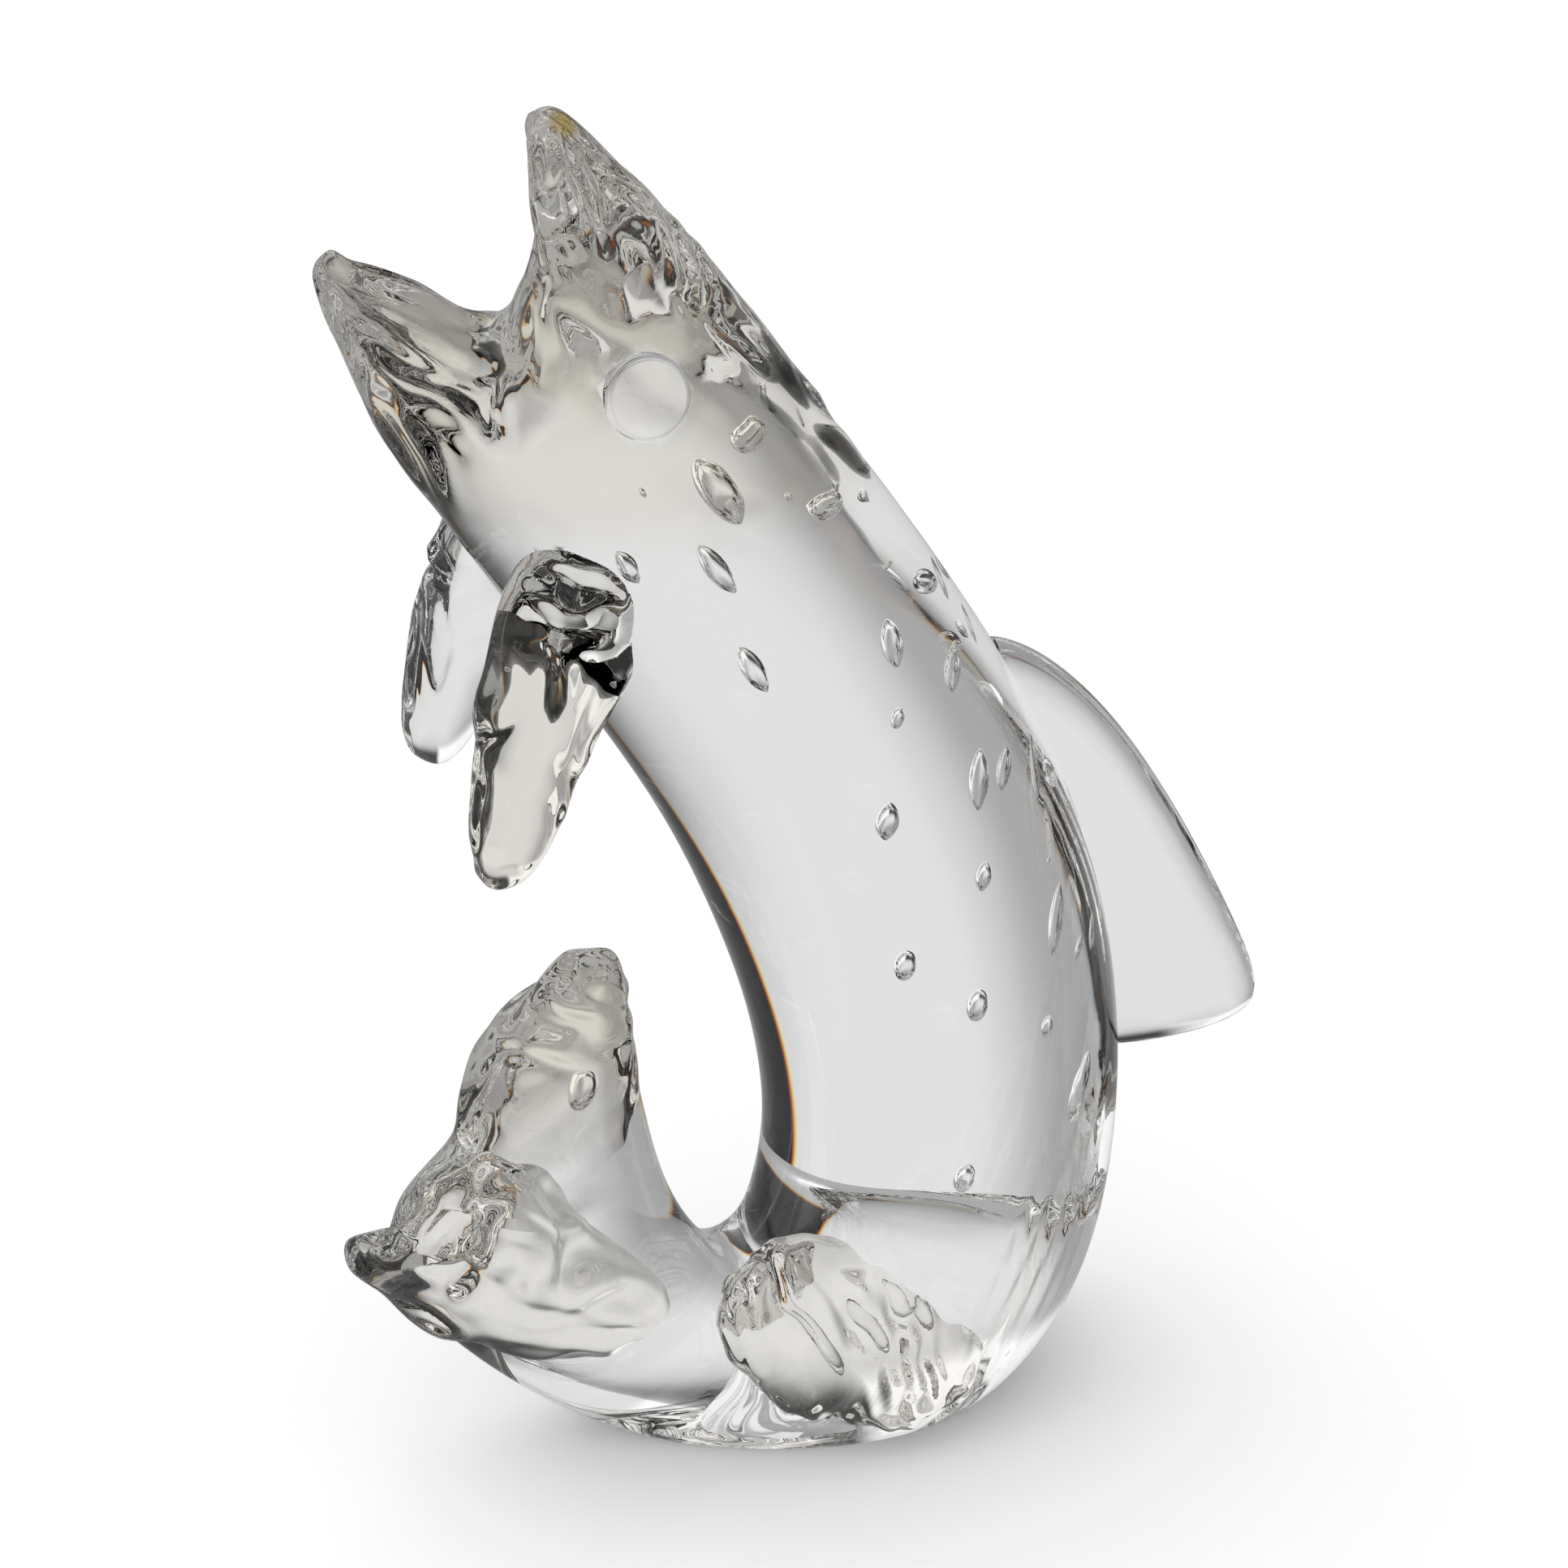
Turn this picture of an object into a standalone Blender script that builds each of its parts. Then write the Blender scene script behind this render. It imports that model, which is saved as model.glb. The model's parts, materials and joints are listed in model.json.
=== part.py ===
"""Leaping trout in solid clear crystal, curled into a C on a ground flat.

The trout is one piece of glass.  A drawn gather gives the body, shears cut the
mouth and the tail fork, and the fins, the eyes and the outer tail lobe are
further bits of hot glass fused to it.  Lengths are in metres and Z is up.  The
XZ plane is the plane of the curl, with the head towards -X and the dorsal fin
towards +X, and -Y is the near flank.  The origin lies in the ground flat that
the trout stands on.
"""

from math import cos, pi, radians, sin

import bmesh
import bpy
from mathutils import Matrix, Vector

MM = 0.001

# Overall size: the height from the ground flat to the snout, and the length
# from the chin to the tip of the dorsal fin.  The outlines are drawn in units,
# and the drawing measures as many units as the next two numbers say.
HEIGHT = 210 * MM
LENGTH = 143 * MM
DRAWN_HEIGHT = 210
DRAWN_LENGTH = 143

# Surface: each form is a cage of eight-cornered rings, smoothed by subdivision
RING_CORNERS = 8
SMOOTH_LEVELS = 2

# Body widths across the plane of the curl, from the gill down to the tail.  The
# belly side of each section is squared by a factor, so its edges are tighter.
BELLY_SQUARING = 1.22
GILL_WIDTH = 40 * MM
SHOULDER_WIDTH = 46 * MM
SEAT_WIDTH = 46 * MM
HEEL_WIDTH = 41 * MM
STEM_WIDTH = 30 * MM
FAN_ROOT_WIDTH = 24 * MM
FAN_WIDTH = 20 * MM

# Height at which the underside is ground flat
GROUND_Z = 0 * MM

# The head is turned away from the near flank about an upright axis.  The turn
# starts and ends at two heights of the drawing.
HEAD_TURN = radians(15)
DRAWN_TURN_AXIS = -20
DRAWN_TURN_START = 118
DRAWN_TURN_END = 166

# Mouth and jaws.  The mouth is cut further down the near cheek, and a crease
# keeps that corner from being smoothed away.
MOUTH_WIDTH = 40 * MM
SNOUT_WIDTH = 11 * MM
CHIN_WIDTH = 12 * MM
MOUTH_SCOOP = 2.5 * MM
NEAR_MOUTH_CUT = 5.5 * MM
NEAR_MOUTH_CREASE = 0.7

# Dorsal fin, a thin three-cornered plate along the back
DORSAL_THICKNESS = 7 * MM

# Pectoral fins, a paddle below a round swelling on each flank
PECTORAL_THICKNESS = 10 * MM
PECTORAL_SINK = 8 * MM
PECTORAL_FLARE = 5 * MM

# Pelvic fins, a leaf-shaped pad on each side of the seat; the far one is moved
# back and down by the drawn steps
PELVIC_THICKNESS = 15 * MM
PELVIC_SINK = 4 * MM
DRAWN_FAR_BACK = 20
DRAWN_FAR_DROP = 3

# Eyes, a low disc on each cheek
EYE_DIAMETER = 12.4 * MM
EYE_PROUD = 1.2 * MM
EYE_DEPTH = 6 * MM
EYE_ROUNDING = 1.0 * MM
EYE_SEGMENTS = 28
EYE_ANGLE = radians(26)
EYE_BACK = 8.5 * MM

# Outer tail lobe, a thick leaf fused to the near face of the tail fan
LOBE_THICKNESS = 17 * MM
LOBE_SINK = 10.5 * MM


def in_plane(x, z):
    """A point of the plane of the curl, given in units of the drawing."""
    return Vector((x * LENGTH / DRAWN_LENGTH, 0, z * HEIGHT / DRAWN_HEIGHT))


def section_frame(first, second, width):
    """Matrix that carries the unit circle to a section between two points."""
    ring_gain = 6 / (4 + 2 * cos(2 * pi / RING_CORNERS))
    across = (first - second) / 2 * ring_gain
    lateral = Vector((0, width / 2 * ring_gain, 0))
    along = across.cross(lateral).normalized()
    frame = Matrix.Identity(4)
    for column, axis in enumerate((across, lateral, along, (first + second) / 2)):
        frame.col[column][:3] = axis
    return frame


def half_frame(split, outer, width):
    """Frame of a half section, from its split line to its outer point."""
    return section_frame(outer, 2 * split - outer, width)


def carry(mesh, made, before, after):
    """Carry the corners that an extrusion made from one section to the next."""
    corners = [item for item in made if isinstance(item, bmesh.types.BMVert)]
    bmesh.ops.transform(mesh, matrix=after @ before.inverted(), verts=corners)
    return set(corners)


def sweep(mesh, frames, squaring=1.0):
    """Ring extruded through all frames; gives its first and its last edges.

    The corners on both sides of each section's second point are moved out
    sideways by the squaring.
    """
    start = bmesh.ops.create_circle(mesh, segments=RING_CORNERS, radius=1.0)["verts"]
    slanted = cos(2 * pi / RING_CORNERS)
    for vert in start:
        if vert.co.x < -slanted / 2 and abs(vert.co.y) > slanted / 2:
            vert.co.y *= squaring
    bmesh.ops.transform(mesh, matrix=frames[0], verts=start)
    first = list({edge for vert in start for edge in vert.link_edges})
    ring = first
    for before, after in zip(frames, frames[1:]):
        made = bmesh.ops.extrude_edge_only(mesh, edges=ring)["geom"]
        corners = carry(mesh, made, before, after)
        edges = [item for item in made if isinstance(item, bmesh.types.BMEdge)]
        ring = [edge for edge in edges if corners.issuperset(edge.verts)]
    return first, ring


def close_ring(mesh, ring):
    """Fill a ring with one face."""
    return bmesh.ops.contextual_create(mesh, geom=ring)["faces"][0]


def split_cap(mesh, ring, frame, split):
    """Close a ring with two faces, which meet in a line across the curl.

    The faces come back in order: the one at the section's first point, then
    the one at its second point.  The two ends of the line come with them.
    """
    cap = close_ring(mesh, ring)
    inverse = frame.inverted()
    sides = sorted(cap.verts, key=lambda vert: abs((inverse @ vert.co).x))[:2]
    _, loop = bmesh.utils.face_split(cap, sides[0], sides[1])
    middle = bmesh.utils.edge_split(loop.edge, sides[0], 0.5)[1]
    line = [*sides, middle]
    bmesh.ops.translate(mesh, vec=split - frame.translation, verts=line)
    halves = list(middle.link_faces)
    halves.sort(key=lambda face: (inverse @ face.calc_center_median()).x)
    return halves[1], halves[0], sides


def grow_half(mesh, face, frames, scoop=0.0):
    """Extrude half of a split cap through its frames, its inside scooped."""
    for before, after in zip(frames, frames[1:]):
        made = bmesh.ops.extrude_face_region(mesh, geom=[face])["geom"]
        carry(mesh, made, before, after)
        bmesh.ops.delete(mesh, geom=[face], context="FACES_ONLY")
        face = next(item for item in made if isinstance(item, bmesh.types.BMFace))
        inverse = after.inverted()
        inner = sorted(face.verts, key=lambda vert: abs((inverse @ vert.co).x))[:3]
        middle = min(inner, key=lambda vert: abs((inverse @ vert.co).y))
        if after is not frames[-1]:
            middle.co += after.col[0].to_3d().normalized() * scoop


def place_object(mesh, name):
    """Put a closed mesh in the scene, smooth and with its faces pointing out."""
    bmesh.ops.recalc_face_normals(mesh, faces=mesh.faces)
    data = bpy.data.meshes.new(name)
    mesh.to_mesh(data)
    mesh.free()
    data.shade_smooth()
    item = bpy.data.objects.new(name, data)
    bpy.context.scene.collection.objects.link(item)
    return item


def smooth_cage(item):
    """Round a cage with a subdivision surface."""
    surface = item.modifiers.new("smooth_cage", "SUBSURF")
    surface.levels = SMOOTH_LEVELS
    surface.render_levels = SMOOTH_LEVELS


def turn_head(item):
    """Turn what lies above the shoulder away from the near flank."""
    start = in_plane(DRAWN_TURN_AXIS, DRAWN_TURN_START)
    end = in_plane(DRAWN_TURN_AXIS, DRAWN_TURN_END)
    for vert in item.data.vertices:
        share = (vert.co.z - start.z) / (end.z - start.z)
        share = min(max(share, 0.0), 1.0)
        angle = HEAD_TURN * share * share * (3 - 2 * share)
        arm = vert.co.x - start.x
        depth = vert.co.y
        vert.co.x = start.x + arm * cos(angle) + depth * sin(angle)
        vert.co.y = depth * cos(angle) - arm * sin(angle)


def body_sections():
    """Sections from the gill to the tail fan: back point, belly point, width."""
    return (
        (in_plane(-17.5, 190.5), in_plane(-59.5, 160), GILL_WIDTH),
        (in_plane(-4.5, 172.5), in_plane(-47.5, 142), SHOULDER_WIDTH),
        (in_plane(9, 153), in_plane(-34.5, 122), SHOULDER_WIDTH),
        (in_plane(23.5, 130), in_plane(-22, 101.5), SHOULDER_WIDTH),
        (in_plane(38, 103), in_plane(-13, 79), SHOULDER_WIDTH),
        (in_plane(46, 75), in_plane(-8, 62), SHOULDER_WIDTH),
        (in_plane(48, 47), in_plane(-6, 45), SHOULDER_WIDTH),
        (in_plane(43.5, 15), in_plane(-8, 34), SEAT_WIDTH),
        (in_plane(24, -7), in_plane(-9.5, 27), SEAT_WIDTH),
        (in_plane(-8, -7), in_plane(-12, 24), HEEL_WIDTH),
        (in_plane(-30, -2), in_plane(-17, 29), STEM_WIDTH),
        (in_plane(-48, 10), in_plane(-23.5, 40), FAN_ROOT_WIDTH),
        (in_plane(-61, 24), in_plane(-27, 57), FAN_WIDTH),
    )


def make_body():
    """Body from the gill through the seat to the tail, with jaws and lobes."""
    mesh = bmesh.new()
    crease = mesh.verts.layers.float.new("crease_vert")
    sections = body_sections()
    frames = [section_frame(*section) for section in sections]
    gill_ring, fan_ring = sweep(mesh, frames, BELLY_SQUARING)

    corner = in_plane(-44.3, 171.2)
    back_half, belly_half, corners = split_cap(mesh, gill_ring, frames[0], corner)
    upper_jaw = (
        half_frame(corner, sections[0][0], MOUTH_WIDTH),
        half_frame(in_plane(-40.3, 190), in_plane(-23.5, 198), MOUTH_WIDTH * 0.66),
        half_frame(in_plane(-42.5, 203), in_plane(-32, 207), SNOUT_WIDTH * 1.2),
        half_frame(in_plane(-41.5, 210), in_plane(-36.5, 211.5), SNOUT_WIDTH * 0.7),
    )
    lower_jaw = (
        half_frame(corner, sections[0][1], MOUTH_WIDTH),
        half_frame(in_plane(-55.2, 182.4), in_plane(-66, 170), MOUTH_WIDTH * 0.7),
        half_frame(in_plane(-65.5, 187), in_plane(-70, 182), CHIN_WIDTH * 1.1),
        half_frame(in_plane(-68, 190), in_plane(-71, 188), CHIN_WIDTH * 0.6),
    )
    grow_half(mesh, back_half, upper_jaw, MOUTH_SCOOP)
    grow_half(mesh, belly_half, lower_jaw, MOUTH_SCOOP)
    near_corner = min(corners, key=lambda vert: vert.co.y)
    near_corner.co -= frames[0].col[2].to_3d() * NEAR_MOUTH_CUT
    near_corner[crease] = NEAR_MOUTH_CREASE

    fork = in_plane(-53, 50)
    outer_half, inner_half, _ = split_cap(mesh, fan_ring, frames[-1], fork)
    inner_lobe = (
        half_frame(fork, sections[-1][1], FAN_WIDTH),
        half_frame(in_plane(-51.3, 65.5), in_plane(-28, 70), FAN_WIDTH * 0.8),
        half_frame(in_plane(-41, 76), in_plane(-29, 78), FAN_WIDTH * 0.6),
        half_frame(in_plane(-36.5, 82), in_plane(-31.5, 82), FAN_WIDTH * 0.4),
    )
    outer_lobe = (
        half_frame(fork, sections[-1][0], FAN_WIDTH),
        half_frame(in_plane(-60, 45), in_plane(-66, 32), FAN_WIDTH * 0.7),
        half_frame(in_plane(-64, 41), in_plane(-67.5, 36), FAN_WIDTH * 0.4),
    )
    grow_half(mesh, inner_half, inner_lobe)
    grow_half(mesh, outer_half, outer_lobe)
    body = place_object(mesh, "glass_trout")
    smooth_cage(body)
    turn_head(body)
    return body


def make_loft(name, outline, thickness, offset):
    """Closed smooth form from an outline drawn in the plane of the curl.

    Each row of the outline gives two facing points of the drawing and the
    share of the thickness there.  The offset moves the form to its seat.
    """
    mesh = bmesh.new()
    frames = [
        section_frame(in_plane(x1, z1) + offset, in_plane(x2, z2) + offset, thickness * share)
        for x1, z1, x2, z2, share in outline
    ]
    for ring in sweep(mesh, frames):
        close_ring(mesh, ring)
    item = place_object(mesh, name)
    smooth_cage(item)
    return item


def make_dorsal_fin():
    """Fin along the back, thinner at its two ends."""
    outline = (
        (24, 125, 22, 119, 0.6),
        (34, 121.5, 26, 108, 1.0),
        (46, 109, 32, 92, 1.0),
        (57, 91, 34, 74, 1.0),
        (68, 68, 36, 58, 0.95),
        (73.5, 51.5, 38, 52, 0.6),
    )
    return make_loft("dorsal_fin", outline, DORSAL_THICKNESS, Vector())


def make_pectoral_fin(side):
    """Paddle that hangs from a flank, flared away from the body at its tip."""
    outline = (
        (-33, 154, -43, 156, 1.0),
        (-27.5, 147, -49, 150, 1.4),
        (-29, 136.5, -51.5, 141, 1.25),
        (-37, 126.5, -55, 130, 0.8),
        (-43, 114, -57, 116, 1.0),
        (-48.5, 103.5, -56, 105, 0.8),
    )
    name = "pectoral_fin_near" if side < 0 else "pectoral_fin_far"
    seat = side * (SHOULDER_WIDTH / 2 - PECTORAL_SINK)
    fin = make_loft(name, outline, PECTORAL_THICKNESS, Vector((0, seat, 0)))
    root, tip = in_plane(*outline[1][:2]), in_plane(*outline[-1][:2])
    for vert in fin.data.vertices:
        share = min(max((root.z - vert.co.z) / (root.z - tip.z), 0.0), 1.0)
        vert.co.y += side * PECTORAL_FLARE * sin(share * pi / 2)
    return fin


def make_pelvic_fin(side):
    """Leaf-shaped pad on the seat; the far one lies further back and lower."""
    outline = (
        (-15, 37, -21, 29, 0.5),
        (-7, 39.5, -18, 18, 0.9),
        (5, 34, -6, 6.5, 1.0),
        (17, 25.5, 7, 2.5, 0.95),
        (22, 16, 17, 6, 0.55),
    )
    name = "pelvic_fin_near" if side < 0 else "pelvic_fin_far"
    offset = Vector((0, side * (SEAT_WIDTH / 2 - PELVIC_SINK), 0))
    if side > 0:
        offset += in_plane(DRAWN_FAR_BACK, -DRAWN_FAR_DROP)
    return make_loft(name, outline, PELVIC_THICKNESS, offset)


def make_outer_lobe():
    """Thick leaf from the finger-like tail tip to a point on the near flank."""
    outline = (
        (-74, 43, -73.5, 38, 0.36),
        (-69, 43.5, -68.5, 34, 0.5),
        (-63, 44, -64, 29, 0.5),
        (-56, 56.5, -57, 24.5, 1.0),
        (-46, 54, -47, 19, 1.2),
        (-35, 42, -36, 18, 1.1),
        (-22, 24, -24, 20, 0.6),
    )
    seat = FAN_WIDTH / 2 + LOBE_THICKNESS / 2 - LOBE_SINK
    return make_loft("outer_tail_lobe", outline, LOBE_THICKNESS, Vector((0, -seat, 0)))


def make_eye(side):
    """Low round disc on a cheek, square to the glass and with a rounded rim."""
    mesh = bmesh.new()
    radius = EYE_DIAMETER / 2
    bmesh.ops.create_cone(
        mesh, cap_ends=True, segments=EYE_SEGMENTS, radius1=radius, radius2=radius, depth=EYE_DEPTH
    )
    rims = [e for e in mesh.edges if abs(e.verts[0].co.z - e.verts[1].co.z) < EYE_DEPTH / 2]
    bmesh.ops.bevel(
        mesh,
        geom=rims,
        offset=EYE_ROUNDING,
        segments=2,
        profile=0.5,
        affect="EDGES",
        material=-1,
    )
    back, belly, width = body_sections()[0]
    across = (back - belly) / 2
    lateral = Vector((0, side * width / 2, 0))
    tailward = across.normalized().cross(Vector((0, -1, 0)))
    cheek = across * sin(EYE_ANGLE) + lateral * cos(EYE_ANGLE)
    outward = (
        across / across.length_squared * sin(EYE_ANGLE)
        + lateral / lateral.length_squared * cos(EYE_ANGLE)
    ).normalized()
    seat = (back + belly) / 2 + cheek + tailward * EYE_BACK
    seat += outward * (EYE_PROUD - EYE_DEPTH / 2)
    turn = outward.to_track_quat("Z", "Y").to_matrix().to_4x4()
    bmesh.ops.transform(mesh, matrix=Matrix.Translation(seat) @ turn, verts=mesh.verts)
    eye = place_object(mesh, "eye_near" if side < 0 else "eye_far")
    turn_head(eye)
    return eye


def make_ground_block():
    """Block whose top face is the plane that the underside is ground to."""
    mesh = bmesh.new()
    bmesh.ops.create_cube(mesh, size=1.0)
    reach = 2 * LENGTH
    place = Matrix.Translation((0, 0, GROUND_Z - reach / 2)) @ Matrix.Scale(reach, 4)
    bmesh.ops.transform(mesh, matrix=place, verts=mesh.verts)
    return place_object(mesh, "ground_block")


def combine(body, tool, operation):
    """Fuse a bit of glass to the body, or grind glass away from it."""
    step = body.modifiers.new(operation.lower() + "_" + tool.name, "BOOLEAN")
    step.operation = operation
    step.solver = "EXACT"
    step.object = tool
    tool.hide_render = True
    tool.display_type = "WIRE"


def make_glass():
    """Clear lead crystal."""
    material = bpy.data.materials.new("clear_crystal")
    material.use_nodes = True
    shader = material.node_tree.nodes["Principled BSDF"]
    shader.inputs["Base Color"].default_value = (0.97, 0.98, 0.98, 1.0)
    shader.inputs["Roughness"].default_value = 0.0
    shader.inputs["Metallic"].default_value = 0.0
    shader.inputs["IOR"].default_value = 1.55
    shader.inputs["Transmission Weight"].default_value = 1.0
    return material


def build():
    """The whole trout as one fused solid."""
    for item in list(bpy.data.objects):
        bpy.data.objects.remove(item)
    body = make_body()
    bits = [make_dorsal_fin(), make_outer_lobe()]
    for side in (-1, 1):
        bits += [make_pectoral_fin(side), make_pelvic_fin(side), make_eye(side)]
    for bit in bits:
        combine(body, bit, "UNION")
    combine(body, make_ground_block(), "DIFFERENCE")
    body.data.materials.append(make_glass())


build()
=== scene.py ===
# %% [markdown]
# # A leaping trout in clear glass
# The object is one solid piece of clear glass, about 21 cm high: a trout that leaps
# with its mouth open, its body curled into a C above a ground flat.  A glass worker
# draws the body from a gather, cuts the mouth and the tail fork with shears, and
# fuses the fins, eyes and outer tail lobe on as further bits of hot glass.  The
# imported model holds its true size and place, and this script makes the fine
# surface, the air bubbles in the glass, the material and the studio.

import json
from math import cos, pi, radians, sin

import bmesh
import bpy
import numpy as np
from mathutils import Matrix, Vector, noise
from mathutils.bvhtree import BVHTree

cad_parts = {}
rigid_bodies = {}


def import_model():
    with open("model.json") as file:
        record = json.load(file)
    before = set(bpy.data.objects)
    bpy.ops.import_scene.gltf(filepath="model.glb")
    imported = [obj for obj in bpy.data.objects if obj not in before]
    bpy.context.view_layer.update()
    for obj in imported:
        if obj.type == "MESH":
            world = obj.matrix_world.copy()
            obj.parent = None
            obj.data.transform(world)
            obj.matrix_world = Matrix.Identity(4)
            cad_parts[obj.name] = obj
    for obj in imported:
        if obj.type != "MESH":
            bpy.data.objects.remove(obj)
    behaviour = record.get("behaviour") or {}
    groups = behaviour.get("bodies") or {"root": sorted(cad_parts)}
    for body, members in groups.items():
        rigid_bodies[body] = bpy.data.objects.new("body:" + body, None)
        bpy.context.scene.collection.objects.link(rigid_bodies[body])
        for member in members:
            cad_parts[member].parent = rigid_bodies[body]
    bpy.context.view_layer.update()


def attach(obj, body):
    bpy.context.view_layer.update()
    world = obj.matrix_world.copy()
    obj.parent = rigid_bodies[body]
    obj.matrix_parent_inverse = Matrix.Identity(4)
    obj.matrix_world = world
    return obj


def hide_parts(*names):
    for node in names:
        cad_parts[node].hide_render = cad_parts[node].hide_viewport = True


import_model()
MM = 0.001
CM = 0.01

# %% [markdown]
# ## Camera
# The photograph looks down at the trout by 27 degrees, from a little towards the
# head.  A 150 mm lens just under a metre away gives its slight perspective: the
# head, nearer the camera, is drawn a few percent larger than the seat.

# %% Camera
PHOTO_SIDE = 1932
LENS_MM = 150.0
SENSOR_MM = 36.0
VIEW_AZIMUTH = radians(-16.5)
VIEW_ELEVATION = radians(27)
VIEW_DISTANCE = 0.95
AIM = Vector((-0.0044, 0, 0.104))

view_back = Vector((
    sin(VIEW_AZIMUTH) * cos(VIEW_ELEVATION),
    -cos(VIEW_AZIMUTH) * cos(VIEW_ELEVATION),
    sin(VIEW_ELEVATION),
))
camera = bpy.data.objects.new("camera", bpy.data.cameras.new("camera"))
camera.data.lens = LENS_MM
camera.data.sensor_width = SENSOR_MM
camera.data.clip_start = 0.01
camera.data.clip_end = 20
camera.location = AIM + view_back * VIEW_DISTANCE
camera.rotation_euler = view_back.to_track_quat("Z", "Y").to_euler()
bpy.context.scene.collection.objects.link(camera)
bpy.context.scene.camera = camera
print("camera at", [round(c, 3) for c in camera.location])

# %% [markdown]
# ## Sections and cages
# The body has no flat or straight stretch, so it is modelled as a cage of few
# corners that a subdivision surface rounds.  Each section of the cage is an
# eight-cornered ring between two facing points of the outline.  A matrix carries
# the unit circle to the section, and extruding the ring and carrying it from one
# matrix to the next sweeps the form.  Scaling a cylinder by hand would do the same
# work with less control over where the outline runs.

# %% Sections
RING_CORNERS = 8


def in_plane(x, z):
    """A point of the plane of the curl, given in millimetres."""
    return Vector((x * MM, 0, z * MM))


def section_frame(first, second, width):
    """Matrix that carries the unit circle to a section between two points."""
    ring_gain = 6 / (4 + 2 * cos(2 * pi / RING_CORNERS))
    across = (first - second) / 2 * ring_gain
    lateral = Vector((0, width / 2 * ring_gain, 0))
    along = across.cross(lateral).normalized()
    matrix = Matrix.Identity(4)
    for column, axis in enumerate((across, lateral, along, (first + second) / 2)):
        matrix.col[column][:3] = axis
    return matrix


def carry(mesh, made, before, after):
    """Carry the corners that an extrusion made from one section to the next."""
    corners = [item for item in made if isinstance(item, bmesh.types.BMVert)]
    bmesh.ops.transform(mesh, matrix=after @ before.inverted(), verts=corners)
    return set(corners)


def sweep(mesh, frames, squaring=1.0):
    """Ring extruded through all frames; gives its first and its last edges."""
    start = bmesh.ops.create_circle(mesh, segments=RING_CORNERS, radius=1.0)["verts"]
    slanted = cos(2 * pi / RING_CORNERS)
    for vert in start:
        if vert.co.x < -slanted / 2 and abs(vert.co.y) > slanted / 2:
            vert.co.y *= squaring
    bmesh.ops.transform(mesh, matrix=frames[0], verts=start)
    first = list(mesh.edges)
    ring = first
    for before, after in zip(frames, frames[1:]):
        made = bmesh.ops.extrude_edge_only(mesh, edges=ring)["geom"]
        corners = carry(mesh, made, before, after)
        edges = [item for item in made if isinstance(item, bmesh.types.BMEdge)]
        ring = [edge for edge in edges if corners.issuperset(edge.verts)]
    return first, ring


def close_ring(mesh, ring):
    """Fill a ring with one face."""
    return bmesh.ops.contextual_create(mesh, geom=ring)["faces"][0]


def place_object(mesh, name):
    """Put a closed mesh in the scene, smooth and with its faces pointing out."""
    bmesh.ops.recalc_face_normals(mesh, faces=mesh.faces)
    data = bpy.data.meshes.new(name)
    mesh.to_mesh(data)
    mesh.free()
    data.shade_smooth()
    item = bpy.data.objects.new(name, data)
    bpy.context.scene.collection.objects.link(item)
    return item


def smooth_cage(item, levels):
    """Round a cage with a subdivision surface."""
    surface = item.modifiers.new("smooth_cage", "SUBSURF")
    surface.levels = levels
    surface.render_levels = levels


def settle(item):
    """Give an object the mesh that its modifiers make."""
    graph = bpy.context.evaluated_depsgraph_get()
    data = bpy.data.meshes.new_from_object(item.evaluated_get(graph))
    item.modifiers.clear()
    item.data = data


print("a section is a ring of", RING_CORNERS, "corners")

# %% [markdown]
# ## Tool marks
# Hot glass keeps shallow dents from the paddles and pincers that shaped it.  They are
# smooth seeded noise, drawn out along the way the glass flowed.  The same function
# writes how strongly each point was worked, and the glass material reads that later.

# %% Tool marks
NOISE_SEED = 20
SEED_STEPS = (7.3, 3.1, 5.7)
FLOW_STRETCH = 0.75
BEND_SIZE = 0.6
BEND_REACH = 0.7
FINE_SIZE = 2.2
FINE_DEPTH = 0.45


def ramp(value, start, end):
    """Smooth step from 0 at the start to 1 at the end."""
    share = min(max((value - start) / (end - start), 0.0), 1.0)
    return share * share * (3 - 2 * share)


def tool_marks(item, depth, size, flow, seed, share=None, rings=1.0):
    """Dent a settled surface with smooth seeded noise, drawn out along a flow."""
    noise.seed_set(seed + NOISE_SEED)
    shift = Vector([seed * step for step in SEED_STEPS])
    flow = Vector(flow).normalized()
    normals = [vert.normal.copy() for vert in item.data.vertices]
    worked = item.data.attributes.get("worked")
    if worked is None:
        worked = item.data.attributes.new("worked", "FLOAT", "POINT")
    for vert, normal, mark in zip(item.data.vertices, normals, worked.data):
        weight = share(vert.co) if share else 1.0
        mark.value = max(mark.value, weight * rings)
        if weight > 0:
            place = vert.co - flow * vert.co.dot(flow) * FLOW_STRETCH
            bend = noise.noise_vector(vert.co / size * BEND_SIZE + shift)
            broad = noise.noise(place / size + shift + bend * BEND_REACH)
            fine = noise.noise(place / size * FINE_SIZE + shift * 2 + bend)
            vert.co += normal * depth * weight * (broad + FINE_DEPTH * fine)


print("dents are drawn out along the flow by a share of", FLOW_STRETCH)

# %% [markdown]
# ## Outline of the body
# Facing points of the outline, back first and belly second, read from the photograph
# through the camera above, with the width of the glass between the flanks.

# %% Outline
GILL_WIDTH = 40 * MM
SHOULDER_WIDTH = 46 * MM
SEAT_WIDTH = 46 * MM
HEEL_WIDTH = 41 * MM
STEM_WIDTH = 30 * MM
FAN_ROOT_WIDTH = 24 * MM
FAN_WIDTH = 20 * MM

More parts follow.
